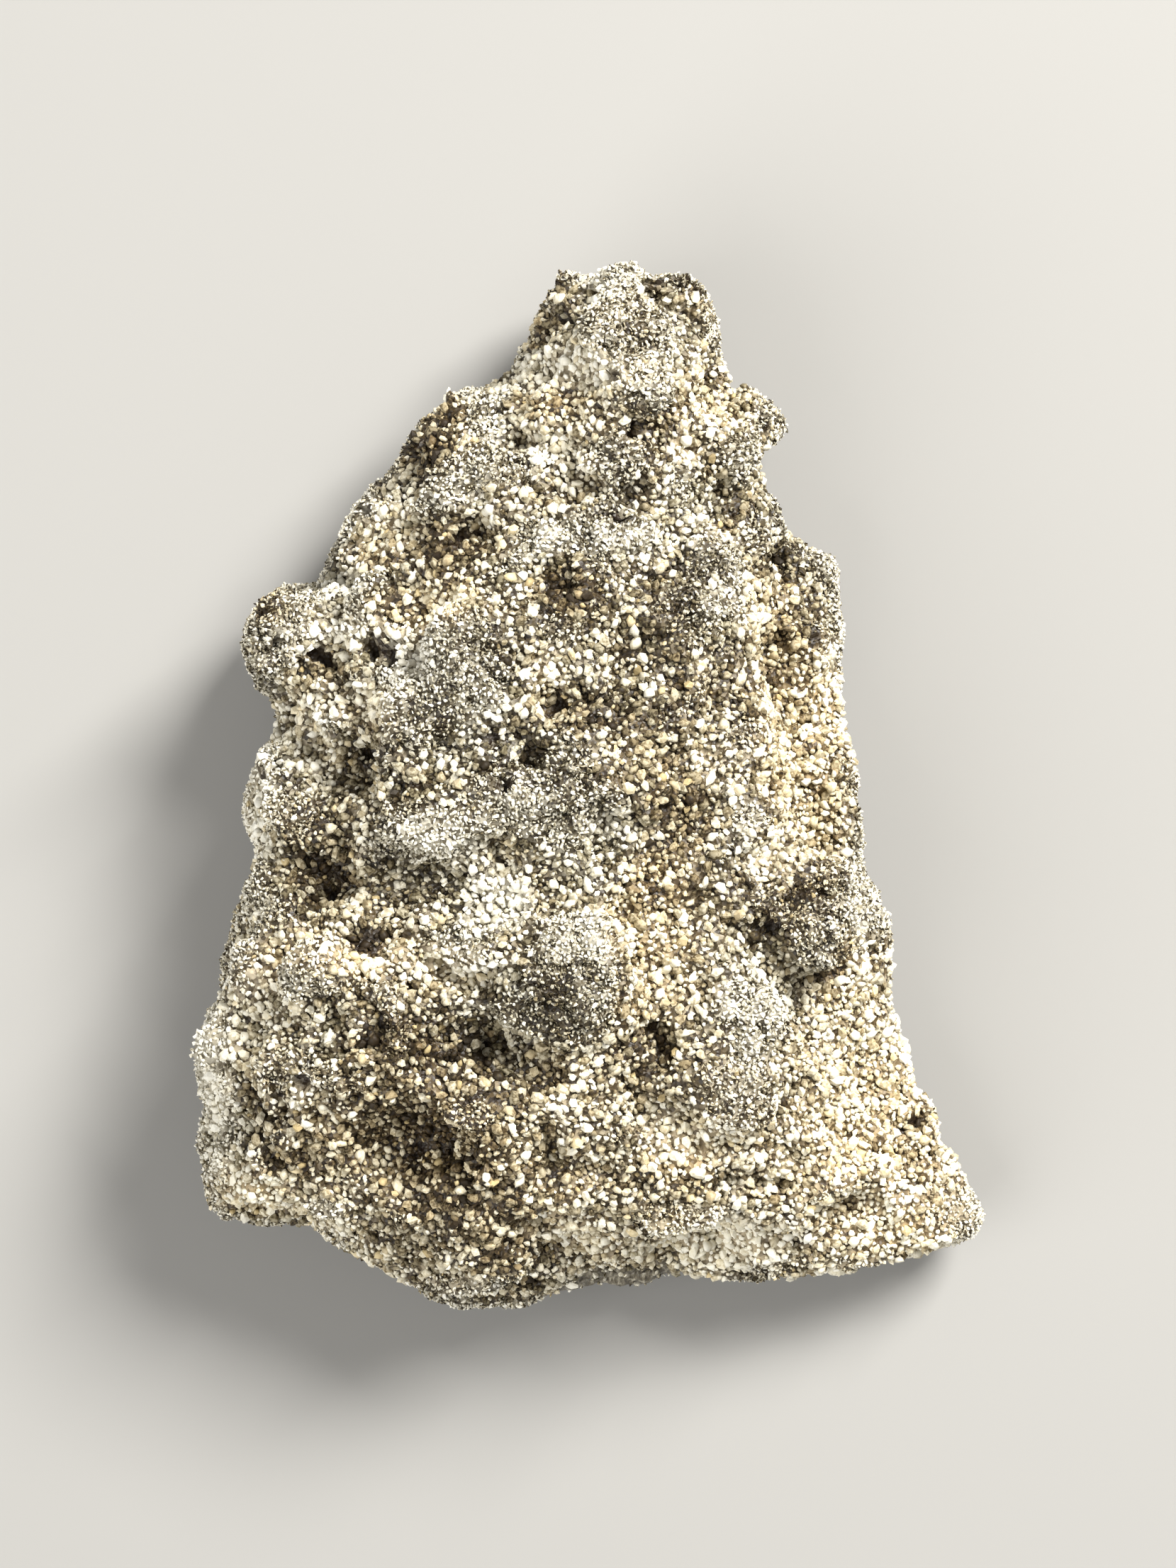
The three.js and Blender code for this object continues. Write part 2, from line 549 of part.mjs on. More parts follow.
function shardGeometry() {
  const samples = sampleField();
  let pinched = Infinity;
  while (pinched > 0) pinched = unpinch(samples);
  const net = netOf(samples);
  settle(net);
  for (const p of net.points) p.z = Math.max(p.z, 0); // wear leaves flat patches on the ground
  const geometry = new THREE.BufferGeometry().setFromPoints(net.points).setIndex(trianglesOf(net));
  geometry.computeBoundingBox();
  const size = geometry.boundingBox.getSize(new THREE.Vector3());
  const centre = geometry.boundingBox.getCenter(new THREE.Vector3());
  return geometry
    .translate(-centre.x, -centre.y, 0)
    .scale(WIDTH / size.x, LENGTH / size.y, THICKNESS / size.z);
}

// ---- The model ----

const sandCrust = new THREE.MeshStandardMaterial({ color: 0xb3a88f, roughness: 0.85, metalness: 0 });

const fulgurite = new THREE.Mesh(shardGeometry(), sandCrust);
fulgurite.name = "fulgurite";

const model = new THREE.Group();
model.add(fulgurite);

export default model;
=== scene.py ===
"""Dresses the fulgurite: a dark fused body under a crust of sand grains, on a pale floor."""

import math

import bmesh
import bpy
import numpy as np
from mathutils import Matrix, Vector, noise


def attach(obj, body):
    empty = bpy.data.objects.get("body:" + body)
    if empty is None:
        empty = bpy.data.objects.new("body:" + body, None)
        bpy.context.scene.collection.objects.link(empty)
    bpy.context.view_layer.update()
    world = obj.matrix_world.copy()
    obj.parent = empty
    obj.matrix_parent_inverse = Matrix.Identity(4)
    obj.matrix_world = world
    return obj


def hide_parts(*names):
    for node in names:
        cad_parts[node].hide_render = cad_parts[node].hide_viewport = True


MM = 0.001
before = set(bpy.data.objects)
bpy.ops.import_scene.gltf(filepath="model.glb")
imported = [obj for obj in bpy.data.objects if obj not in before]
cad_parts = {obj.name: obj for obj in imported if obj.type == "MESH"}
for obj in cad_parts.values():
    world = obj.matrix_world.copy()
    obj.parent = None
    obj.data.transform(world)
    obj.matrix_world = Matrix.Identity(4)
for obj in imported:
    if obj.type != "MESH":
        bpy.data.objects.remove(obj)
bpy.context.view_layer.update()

# ---- The fused body ----

WELD_DISTANCE = 1e-7  # corners closer than this, in metres, are one corner
BODY_CUTS = 3  # each edge of the solid is cut into one more piece than this
BODY_SINK = 0.12 * MM  # the body lies this far under the tips of its grains
SMOOTHING = 0.5  # how far one smoothing round moves a point towards its neighbours
SKIN_ROUNDS = 2  # smoothing rounds that take the edge off the solid's facets
CREST_ROUNDS = 160  # smoothing rounds that a lump or a hollow is measured against
CREST_SPAN = 0.45 * MM  # height over the smoothed skin that counts as a full crest
HOLLOW_DEPTH = 0.34 * MM  # how much deeper than in the solid the hollows between the lumps lie

# Fine relief: wavelength and depth.
FINE_RELIEF = [(1.1 * MM, 0.18 * MM), (0.6 * MM, 0.20 * MM), (0.33 * MM, 0.12 * MM)]

# In what follows a mottle is a wavelength, a strength, and a shift through the noise that sets it apart.

# Clumps: their size and the depth of the cracks between them.
CLUMPS = [(1.15 * MM, 0.30 * MM), (0.6 * MM, 0.15 * MM)]
CRACK_WIDTH = 0.16  # as a share of a clump
CRACK_PAINTED_SHADE = 0.5  # how much painted shade darkens a crack
CRACKED_REGIONS = (2.0 * MM, 1.5, 51.0)  # a mottle that parts cracked skin from whole skin
CRACKED_SHARE = 0.5  # how cracked the skin is where that mottle is level
WANDER_SIZE = 0.7 * MM  # wavelength of the wandering of the cracks
WANDER_DEPTH = 0.25 * MM  # how far the cracks wander
WANDER_SHIFTS = (31.0, 37.0, 43.0)

# Lightness and warmth of the skin before the patches, with painted light on the crests and painted shade
# in the hollows.
FINE_MOTTLE = (0.8 * MM, 0.3, 9.0)
BROAD_MOTTLE = (1.5 * MM, 0.25, 3.0)
WARM_MOTTLE = (2.2 * MM, 0.7, 21.0)
PAINTED_CREST_LIGHT_HOLLOW_SHADE = 0.22  # painted light on the crests and painted shade in the hollows: how much lighter a crest is than level skin
DARKEST_PAINTED_HOLLOW = -1.5  # a hollow deeper than this gets no more painted shade
BASE_WARMTH = 0.25  # warmth of level skin
CREST_WARMTH = 0.5  # how much greyer a crest is, and how much browner a hollow

# On the steep sides the body sinks less, so that the outline keeps its size.
STEEP_SLOPE = 1.6  # how fast that ends as the skin turns up or down
STEEP_EASE = 0.5  # how much less it sinks on upright skin

# Nicks in the outline of the tip: x, y, radius and depth, in millimetres.
NICKS = [(1.7, 14.35, 0.30, 0.38), (4.1, 11.35, 0.27, 0.45)]

PORE_MARGIN = 0.07  # millimetres that a pore reaches under the grains round its mouth
RAGGED_EDGE = 0.9  # how ragged the mouth of a pore is
RAGGED_SIZE = 0.35 * MM  # wavelength of its raggedness
RAGGED_SHIFT = 61.0
PORE_TILT = 0.1  # pores lie only where the skin's normal points up by more than this

# Small pores in the upper face: x, y, radius and depth, in millimetres.
PORES = [
    (1.45, 9.75, 0.22, 0.6), (0.97, 7.55, 0.20, 0.6), (-0.75, 13.1, 0.18, 0.3), (0.45, 11.2, 0.14, 0.25),
    (3.1, 9.4, 0.16, 0.4), (-6.15, 3.8, 0.30, 0.6), (-5.75, 3.65, 0.24, 0.5), (-7.6, 3.6, 0.26, 0.5),
    (-8.6, 3.9, 0.16, 0.3), (-2.75, 1.35, 0.20, 0.4), (-2.3, 0.15, 0.20, 0.45), (1.38, -0.32, 0.20, 0.35),
    (0.28, 0.44, 0.16, 0.3), (6.6, -2.9, 0.22, 0.4), (-0.8, 2.3, 0.14, 0.4), (-6.4, 7.75, 0.20, 0.4),
    (-5.5, 8.5, 0.20, 0.4), (-6.0, 8.7, 0.15, 0.3), (-7.3, -2.8, 0.22, 0.5), (-7.9, -8.1, 0.18, 0.35),
    (9.2, -9.6, 0.18, 0.3), (-2.8, -7.2, 0.15, 0.4), (-4.8, -10.0, 0.15, 0.4), (5.0, -4.0, 0.20, 0.4),
    (-0.7, 5.3, 0.16, 0.4), (-6.3, 0.9, 0.13, 0.4), (2.2, -0.7, 0.18, 0.4), (-3.6, 7.0, 0.15, 0.4),
    (-5.9, 1.55, 0.13, 0.3), (-2.5, 0.8, 0.13, 0.3), (-2.4, -0.15, 0.12, 0.3),
]

# Stains and pale patches of the upper face, with painted shade in its hollows and on the lower left, which
# faces away from the key light, and painted light on the left edge lobes: x, y, half length along x and y,
# lightness, warmth.
PATCHES = [
    # brown stains and black hollows, their darkness partly stain and partly painted shade
    (-0.9, 13.3, 0.8, 0.7, -0.35, 0.3), (-3.9, 10.7, 0.7, 0.7, -1.0, 0.7),
    (-4.5, 9.5, 0.9, 1.0, -1.4, 0.7), (1.3, 10.1, 0.6, 0.6, -0.7, 0.3), (0.8, 8.4, 0.5, 1.1, -0.5, -0.3),
    (2.2, 9.4, 0.6, 0.7, -0.9, 0.2), (3.7, 9.4, 0.6, 0.6, -0.5, 0.1), (4.3, 7.9, 0.7, 0.6, -0.3, 0.5),
    (-3.7, 6.7, 1.3, 0.9, -1.6, 0.6), (-0.3, 5.2, 1.1, 0.9, -1.5, 0.6), (-5.4, 5.4, 0.7, 0.7, -0.4, -0.4),
    (-9.1, 5.3, 0.8, 0.6, -0.6, 0.6), (-9.3, 3.5, 0.9, 0.8, -0.2, -0.6), (-7.4, 3.5, 0.6, 0.6, -0.3, 0.5),
    (-6.0, 3.8, 0.6, 0.5, -0.2, 0.3), (3.2, 6.4, 1.0, 0.6, -0.4, -0.3), (2.0, 4.2, 1.1, 0.9, -0.45, -0.1),
    (6.2, 4.9, 0.8, 1.2, -0.7, 0.2), (-3.4, 4.0, 1.1, 0.9, -0.6, -0.2), (-0.2, 2.1, 0.7, 0.7, -0.4, 0.7),
    (1.4, 1.9, 1.1, 0.7, -0.9, 0.4), (-6.2, 0.6, 0.9, 0.7, -0.4, 0.0), (-8.0, 0.2, 0.6, 0.6, -0.2, -0.2),
    (-2.0, 0.8, 1.5, 0.8, -0.5, -0.6), (2.4, -0.9, 0.9, 0.8, -0.9, 0.5),
    (-7.3, -2.3, 1.5, 1.1, -0.35, 0.7), (-4.4, -2.6, 1.5, 0.7, -0.25, -0.3),
    (-6.1, -3.95, 0.36, 0.34, -3.0, -0.5), (3.4, -2.8, 1.0, 0.7, -0.4, 0.4),
    (6.3, -2.6, 0.9, 0.7, -0.75, 0.2), (5.0, -4.1, 0.7, 0.7, -0.8, -0.1),
    (6.5, -4.4, 1.1, 0.9, -0.45, -0.2), (-1.2, -5.2, 0.9, 0.8, -0.7, 0.1),
    (-2.6, -7.4, 1.2, 0.9, -0.35, -0.1), (-0.6, -6.2, 1.1, 0.8, -0.7, -0.1),
    (-5.4, -7.0, 0.9, 0.8, -0.45, 0.4), (1.2, -7.4, 0.9, 0.7, -0.7, 0.9),
    (2.7, -8.6, 0.7, 0.6, -0.35, 0.1), (-5.6, -9.4, 1.5, 1.0, -0.6, 0.5),
    (-4.2, -11.2, 1.5, 1.2, -0.6, 0.7), (-9.4, -8.7, 1.0, 0.7, -0.15, 0.3),
    (-8.2, -10.6, 1.5, 0.8, -0.15, 0.6), (-2.4, -12.4, 1.6, 1.2, -0.7, 0.5),
    (6.4, -11.7, 0.8, 0.6, -0.3, -0.2), (9.3, -9.5, 0.34, 0.32, -2.4, -0.3),
    (0.7, -11.6, 0.8, 0.6, -0.25, 0.0), (-5.6, -13.3, 1.2, 0.6, -0.3, 0.3),
    (0.6, -14.1, 1.8, 0.5, -0.5, -0.4), (-4.4, -0.3, 1.2, 0.5, -0.9, 0.0),
    (-6.9, -1.0, 1.0, 0.5, -0.5, 0.4), (-8.1, -3.1, 0.7, 0.9, -0.5, 0.3),
    (-2.6, -9.0, 1.0, 1.2, -0.7, 0.3), (3.0, -7.3, 0.9, 0.8, -0.6, 0.1), (5.0, 1.7, 0.8, 1.0, -0.45, 0.6),
    (5.5, -6.2, 0.7, 1.2, -0.5, 0.0), (6.1, -8.5, 0.9, 0.7, -0.5, 0.2), (2.3, -0.3, 0.5, 0.9, -0.3, 0.2),
    (6.3, 4.2, 0.32, 0.32, -2.2, -0.5), (-2.8, -5.7, 0.3, 0.3, -2.0, -0.3),
    (5.6, 6.3, 0.8, 0.6, -0.8, -0.1), (-3.8, 2.5, 0.7, 1.2, -0.8, -0.3), (-7.9, 2.6, 0.5, 0.6, -0.8, 0.2),
    (0.6, 0.4, 1.0, 0.7, -0.7, 0.3), (5.7, -2.8, 0.8, 0.6, -0.8, 0.2), (-4.3, -6.9, 0.7, 0.6, -0.6, 0.3),
    (-4.3, -8.4, 0.8, 0.8, -0.5, 0.5), (4.7, -9.2, 0.7, 0.6, -0.7, 0.2),
    (-6.8, -10.0, 0.8, 0.6, -0.5, 0.5), (-4.7, -11.6, 0.6, 0.6, -0.5, 0.6),
    (-8.5, -7.6, 0.6, 0.6, -0.5, 0.1), (-2.7, -13.4, 0.9, 0.5, -0.7, 0.4),
    (-0.8, 14.2, 0.5, 0.4, -0.8, 0.7), (3.1, 13.4, 0.6, 0.8, -0.3, 1.1),
    (-1.5, 12.9, 0.5, 0.9, -0.4, 0.7), (2.0, 14.1, 0.4, 0.4, -0.7, 0.3), (-9.0, 4.9, 0.7, 0.6, -0.7, 0.6),
    (3.0, -11.2, 1.0, 0.7, -0.6, 0.6), (-5.0, -6.3, 0.8, 0.5, -0.5, 0.3),
    (1.0, 7.3, 0.7, 0.4, -0.7, -0.1), (5.1, 0.3, 0.6, 0.8, -0.4, 0.7),
    # pale grey and white fused tops; on the left edge lobes the lightening is painted light
    (0.7, 14.2, 1.4, 0.7, 0.3, -0.7), (2.0, 12.4, 1.6, 1.2, 0.0, -0.3), (-0.3, 11.7, 1.4, 0.7, 0.9, 0.3),
    (-2.6, 10.3, 0.8, 0.9, 0.6, -0.6), (0.6, 6.9, 1.9, 0.6, 0.9, -0.8), (7.0, 6.3, 0.6, 0.7, 0.3, -0.6),
    (-7.2, 5.7, 1.2, 0.7, 0.3, -0.5), (-5.2, 3.7, 0.8, 0.9, 1.5, -0.3), (-4.2, 1.4, 0.9, 0.8, 0.25, -1.0),
    (-9.2, 0.5, 0.7, 1.2, 0.5, -0.4), (-4.4, -1.5, 1.6, 0.8, 0.8, -0.9), (0.0, -0.9, 1.7, 1.3, 0.1, -0.9),
    (-0.1, -4.2, 1.3, 0.8, 1.1, -1.0), (7.9, -3.0, 0.6, 1.3, 0.6, -0.4), (4.5, -6.0, 1.4, 0.7, 1.1, -1.2),
    (4.2, -8.4, 1.2, 0.9, 0.0, -0.8), (-10.7, -6.8, 0.8, 1.0, 1.2, -0.2),
    (-10.7, -9.2, 0.9, 1.9, 1.2, -0.1), (0.8, 2.9, 1.3, 0.7, 0.2, -0.7),
    (-1.2, -9.3, 0.9, 0.9, 0.2, -0.6), (3.0, 7.9, 1.0, 0.6, 0.3, -0.6), (-1.2, 9.3, 0.8, 0.9, 1.1, 0.1),
    (-3.5, 2.6, 1.2, 1.0, 0.4, -0.9), (-1.3, 6.8, 0.8, 0.8, 0.9, 0.0),
    # cream and yellow sand on the ledges
    (6.2, 1.0, 1.3, 2.6, 0.2, 0.9), (5.4, 4.0, 1.2, 2.2, 0.1, 0.8), (-6.6, -4.5, 2.3, 0.8, 0.45, 0.8),
    (1.6, -4.1, 1.6, 1.2, 0.5, 0.9), (2.6, -5.4, 1.2, 0.8, 0.2, 0.8), (-5.0, 5.1, 1.3, 0.7, 0.5, 0.9),
    (-1.4, 10.6, 1.0, 0.6, -0.2, 1.0), (3.4, 11.0, 1.2, 1.5, 0.35, 0.7),
    (2.85, 9.35, 0.5, 0.35, 2.6, 1.2), (8.4, -10.4, 3.2, 3.6, 0.3, 0.6), (7.4, -7.0, 1.3, 2.0, 0.15, 0.6),
    (2.2, -12.8, 4.0, 1.3, 0.3, 0.6), (-9.4, -6.8, 1.3, 1.8, 0.3, 0.4), (1.6, 0.6, 1.6, 1.8, -0.1, 0.7),
    (-6.8, 2.4, 1.5, 0.7, 0.9, 0.5), (-4.0, -13.8, 1.8, 0.7, 0.5, 0.5), (-7.7, 1.1, 0.7, 0.8, 0.9, 0.3),
    (-5.4, 7.6, 0.8, 0.9, 0.6, 0.3), (-2.6, -3.0, 1.2, 0.9, 1.5, -0.2), (-3.7, -4.8, 1.2, 0.7, 1.2, 0.4),
    (3.2, -9.8, 1.6, 0.8, 1.2, 0.8), (3.7, -13.0, 1.6, 0.7, 1.5, 0.5), (5.1, -2.1, 0.8, 0.7, 1.1, 0.5),
    (-7.5, -8.7, 0.8, 0.8, 0.7, 0.5), (-9.6, -11.3, 1.2, 0.9, 0.8, 0.5), (-7.6, -6.2, 0.7, 0.8, 0.6, 0.3),
    (6.8, 0.0, 0.5, 0.9, 0.7, 0.9), (-1.1, -12.3, 1.0, 0.5, 0.9, 0.6), (1.9, -9.3, 0.6, 0.7, 0.7, 0.5),
    (4.5, -7.3, 0.9, 0.6, 0.9, -0.6), (-6.8, 4.4, 1.0, 0.6, 0.9, 0.1), (0.8, 11.2, 1.3, 0.5, 0.5, 0.5),
    (-1.6, 11.6, 0.6, 0.6, 0.9, 0.3), (5.5, 0.8, 0.6, 0.9, 0.0, 1.2), (1.7, -2.6, 1.0, 0.9, 0.0, 1.1),
    (7.3, -5.0, 0.5, 1.0, 0.2, 1.1), (8.6, -12.8, 1.8, 0.8, 0.1, 1.1), (-9.6, -11.4, 1.2, 0.9, 0.1, 0.9),
    (-3.9, 5.0, 0.8, 0.6, 0.2, 1.1), (2.6, -10.4, 1.2, 0.7, 0.1, 1.1), (1.4, -6.0, 0.8, 0.8, 0.1, 1.0),
    (-8.0, 3.9, 0.8, 0.5, 0.9, 0.0), (-1.0, 2.9, 0.7, 0.7, 1.0, 0.5), (3.4, 0.8, 0.7, 0.7, 0.8, 0.5),
    (0.4, -1.2, 0.6, 0.6, 0.7, -0.4), (5.6, -10.9, 0.8, 0.5, 0.8, 0.2), (-3.1, 7.4, 0.7, 0.6, 0.8, 0.3),
    (3.6, 6.8, 1.0, 0.5, 0.7, 0.2), (-0.3, 8.6, 0.7, 0.6, 0.8, 0.3), (-6.3, -4.7, 0.9, 0.5, 0.8, 0.8),
    (-0.3, 11.4, 0.9, 0.5, 0.5, 0.3),
    # broad tints over whole parts of the face; the darkening of the lower left is partly painted shade
    (-4.2, -9.8, 4.4, 3.2, -0.2, 0.75), (8.2, -9.8, 3.4, 3.8, 0.35, 0.9), (6.4, 0.8, 1.4, 3.4, 0.15, 1.0),
    (-7.6, -1.2, 1.8, 2.4, -0.2, 0.3), (5.4, -3.2, 1.9, 1.8, -0.3, 0.4), (-9.8, -0.6, 0.8, 2.2, 0.8, 0.2),
    (1.6, 3.6, 2.6, 2.4, -0.3, 0.3), (-0.4, -10.6, 1.6, 3.0, 0.0, 0.6), (1.0, 13.0, 1.8, 1.6, 0.1, 0.2),
    (-2.4, -6.2, 1.4, 1.2, -0.35, -0.1), (2.6, -8.0, 3.0, 2.0, -0.15, 0.4),
]

PATCH_FALL = (1.1, 1.5)  # how fast a patch fades, and how flat its middle is
STAIN_AND_SHADE_WEIGHT = 0.7  # strength of the patches that darken, stains and painted shade
PALE_WEIGHT = 0.9  # strength of the patches that lighten, painted light among them
WARMTH_WEIGHT = 0.8  # how far a patch brings its place to its own warmth
UPPER_SLOPE = 3.0  # how fast the patches fade as the skin leans over
UPPER_START = 0.8  # their strength on upright skin
UPPER_LEVEL = 1.0  # millimetres over the ground where the patches begin

GLASSY_RIM = (0.6, -14.1, 2.7, 0.8)  # bare grey glass along the broken end: x, y, half lengths
RIM_LEVEL = 3.9  # millimetres over the ground where the bare glass ends
UNDERSIDE_SLOPE = 1.5  # how fast the underside begins as the skin leans over, and how late
UNDERSIDE_START = 0.5

SHIFT_WAY = (1.0, 2.7, -1.3)  # which way a shift moves through the noise


def smoothed(points, edges, rounds):
    """The points after rounds of moving each one towards the mean of its neighbours."""
    count = np.bincount(edges.ravel(), minlength=len(points))[:, None]
    for _ in range(rounds):
        total = np.zeros_like(points)
        for axis in range(3):
            total[:, axis] = np.bincount(edges[:, 0], points[edges[:, 1], axis], len(points))
            total[:, axis] += np.bincount(edges[:, 1], points[edges[:, 0], axis], len(points))
        points = points + SMOOTHING * (total / count - points)
    return points


def read_vectors(collection, field):
    values = np.zeros(len(collection) * 3)
    collection.foreach_get(field, values)
    return values.reshape(-1, 3)


def roughness_at(points, wavelength, shift=0.0):
    offset = Vector([shift * step for step in SHIFT_WAY])
    return np.array([noise.noise(Vector(p) / wavelength + offset) for p in points])


def mottle_at(points, mottle):
    wavelength, strength, shift = mottle
    return strength * roughness_at(points, wavelength, shift)


def cracks_at(points, size):
    """1 in the middle of a crack between two clumps, falling to 0 on the clumps."""
    found = [noise.voronoi(Vector(p) / size)[0] for p in points]
    return np.array([math.exp(-((d[1] - d[0]) / CRACK_WIDTH) ** 2) for d in found])


def add_attribute(mesh, name, values):
    layer = mesh.attributes.new(name, "FLOAT", "POINT")
    layer.data.foreach_set("value", values.astype(np.float32))


def patch_strength(x, y, patch):
    """How strongly a patch covers each place: 1 at its middle, falling to 0 past its edge."""
    reach = ((x - patch[0]) / patch[2]) ** 2 + ((y - patch[1]) / patch[3]) ** 2
    fade, flatness = PATCH_FALL
    return np.exp(-fade * reach**flatness)


def finer_mesh(node):
    """The solid's mesh, cut into smaller triangles."""
    mesh = node.data.copy()
    mesh.name = "fused_body"
    net = bmesh.new()
    net.from_mesh(mesh)
    bmesh.ops.remove_doubles(net, verts=net.verts, dist=WELD_DISTANCE)
    bmesh.ops.subdivide_edges(net, edges=net.edges, cuts=BODY_CUTS, use_grid_fill=True)
    bmesh.ops.triangulate(net, faces=net.faces)
    net.to_mesh(mesh)
    net.free()
    mesh.materials.clear()
    return mesh


def skin_colour(points, crest, up):
    """Lightness and warmth of the skin: mottles, painted light on the crests and painted shade in the
    hollows, then the stains and pale patches, which carry painted shade and light of their own.
    """
    x, y, z = (points / MM).T
    upper = np.clip(up * UPPER_SLOPE + UPPER_START, 0, 1) * np.clip(z - UPPER_LEVEL, 0, 1)
    shade = mottle_at(points, FINE_MOTTLE) + mottle_at(points, BROAD_MOTTLE)
    # painted light on the crests and painted shade in the hollows
    shade += PAINTED_CREST_LIGHT_HOLLOW_SHADE * np.clip(crest, DARKEST_PAINTED_HOLLOW, 1)
    warm = BASE_WARMTH - CREST_WARMTH * np.clip(crest, -1, 1) + mottle_at(points, WARM_MOTTLE)
    for patch in PATCHES:
        lightness, warmth = patch[4:]
        cover = patch_strength(x, y, patch) * upper
        # stains and pale patches, with the painted shade and painted light among them
        shade += cover * lightness * (STAIN_AND_SHADE_WEIGHT if lightness < 0 else PALE_WEIGHT)
        warm += cover * (warmth - warm) * WARMTH_WEIGHT
    return shade, warm


def clump_cracks(points):
    """For each size of clump: how deep its cracks are, and how much of a crack runs at each point."""
    wander = [roughness_at(points, WANDER_SIZE, shift) for shift in WANDER_SHIFTS]
    wander = np.stack(wander, 1) * WANDER_DEPTH
    cracked = np.clip(CRACKED_SHARE + mottle_at(points, CRACKED_REGIONS), 0, 1)
    return [(depth, cracks_at(points + wander, size) * cracked) for size, depth in CLUMPS]


def pores_at(points, up):
    """How much of a pore's mouth lies at each point, and how deep the pores are sunk there."""
    x, y, _ = (points / MM).T
    pore = np.zeros(len(points))
    sunk = np.zeros(len(points))
    raggedness = RAGGED_EDGE * roughness_at(points, RAGGED_SIZE, RAGGED_SHIFT)
    for px, py, radius, depth in PORES:
        reach = ((x - px) ** 2 + (y - py) ** 2) / (radius + PORE_MARGIN) ** 2 + raggedness
        cover = np.clip(1 - reach, 0, 1) * (up > PORE_TILT)
        pore = np.maximum(pore, cover)
        sunk += MM * depth * cover**0.5
    return pore, sunk


def nicks_at(points):
    x, y, _ = (points / MM).T
    sunk = np.zeros(len(points))
    for nx, ny, radius, depth in NICKS:
        sunk += MM * depth * np.clip(1 - ((x - nx) ** 2 + (y - ny) ** 2) / radius**2, 0, 1)
    return sunk


def bare_glass(points):
    """How bare the glass along the broken end is at each point."""
    x, y, z = (points / MM).T
    return patch_strength(x, y, GLASSY_RIM) * np.clip(RIM_LEVEL - z, 0, 1)


def fused_body(node):
    mesh = finer_mesh(node)
    edges = np.array([e.vertices[:] for e in mesh.edges])
    points = smoothed(read_vectors(mesh.vertices, "co"), edges, SKIN_ROUNDS)
    mesh.vertices.foreach_set("co", points.ravel())
    mesh.update()
    normals = read_vectors(mesh.vertex_normals, "vector")
    up = normals[:, 2]
    rise = np.einsum("ij,ij->i", points - smoothed(points, edges, CREST_ROUNDS), normals)
    crest = rise / CREST_SPAN
    shade, warm = skin_colour(points, crest, up)
    pore, pore_depth = pores_at(points, up)

    sink = BODY_SINK + HOLLOW_DEPTH * np.clip(-crest, 0, 1)
    for wavelength, depth in FINE_RELIEF:
        sink -= depth * roughness_at(points, wavelength)
    for depth, crack in clump_cracks(points):
        sink += depth * crack
        # painted shade in the cracks between the clumps
        shade -= CRACK_PAINTED_SHADE * crack
    sink += pore_depth
    steep = np.clip(1 - STEEP_SLOPE * np.abs(up), 0, 1)
    sink = np.clip(sink, 0, None) * (1 - STEEP_EASE * steep) + nicks_at(points)

    sunk = points - normals * sink[:, None]
    sunk[:, 2] = np.maximum(sunk[:, 2], 0)
    mesh.vertices.foreach_set("co", sunk.ravel())
    add_attribute(mesh, "shade", shade)
    add_attribute(mesh, "warm", warm)
    add_attribute(mesh, "pore", pore)
    add_attribute(mesh, "crest", crest)
    add_attribute(mesh, "glassy", bare_glass(points))
    add_attribute(mesh, "under", np.clip(-UNDERSIDE_START - UNDERSIDE_SLOPE * up, 0, 1))
    mesh.shade_smooth()
    mesh.update()
    body = bpy.data.objects.new("fused_body", mesh)
    bpy.context.scene.collection.objects.link(body)
    return body


# ---- Materials ----


class Nodes:
    """Adds and links a node tree's nodes in few words."""

    def __init__(self, tree):
        self.tree = tree

    def add(self, kind, *, inputs=None, **settings):
        node = self.tree.nodes.new(kind)
        for key, value in settings.items():
            setattr(node, key, value)
        for key, value in (inputs or {}).items():
            if isinstance(value, bpy.types.NodeSocket):
                self.tree.links.new(value, node.inputs[key])
            else:
                node.inputs[key].default_value = value
        return node

    def math(self, operation, *values, clamp=False):
        inputs = dict(enumerate(values))
        node = self.add("ShaderNodeMath", inputs=inputs, operation=operation, use_clamp=clamp)
        return node.outputs[0]

    def fade(self, value, levels, results):
        """A value that goes from the first result to the second between two levels."""
        inputs = dict(enumerate((value, *levels, *results)))
        return self.add("ShaderNodeMapRange", inputs=inputs).outputs[0]

    def mix(self, factor, first, second):
        node = self.add("ShaderNodeMix", data_type="RGBA")
        for socket, value in ((0, factor), (6, first), (7, second)):
            if isinstance(value, bpy.types.NodeSocket):
                self.tree.links.new(value, node.inputs[socket])
            else:
                node.inputs[socket].default_value = (*value, 1)
        return node.outputs[2]

    def ramp(self, factor, stops):
        node = self.add("ShaderNodeValToRGB", inputs={0: factor})
        elements = node.color_ramp.elements
        while len(elements) < len(stops):
            elements.new(0.5)
        for element, (place, colour) in zip(elements, stops):
            element.position = place
            element.color = (*colour, 1)
        return node.outputs[0]

    def cloud(self, place, size, detail):
        inputs = {"Vector": place, "Scale": 1 / size, "Detail": detail}
        return self.add("ShaderNodeTexNoise", inputs=inputs).outputs[0]

    def attribute(self, name):
        return self.add("ShaderNodeAttribute", attribute_name=name).outputs["Fac"]


def new_material(name, roughness, specular=0.5):
    material = bpy.data.materials.new(name)
    material.use_nodes = True
    shader = material.node_tree.nodes["Principled BSDF"]
    shader.inputs["Roughness"].default_value = roughness
    shader.inputs["Specular IOR Level"].default_value = specular
    return material, Nodes(material.node_tree), shader


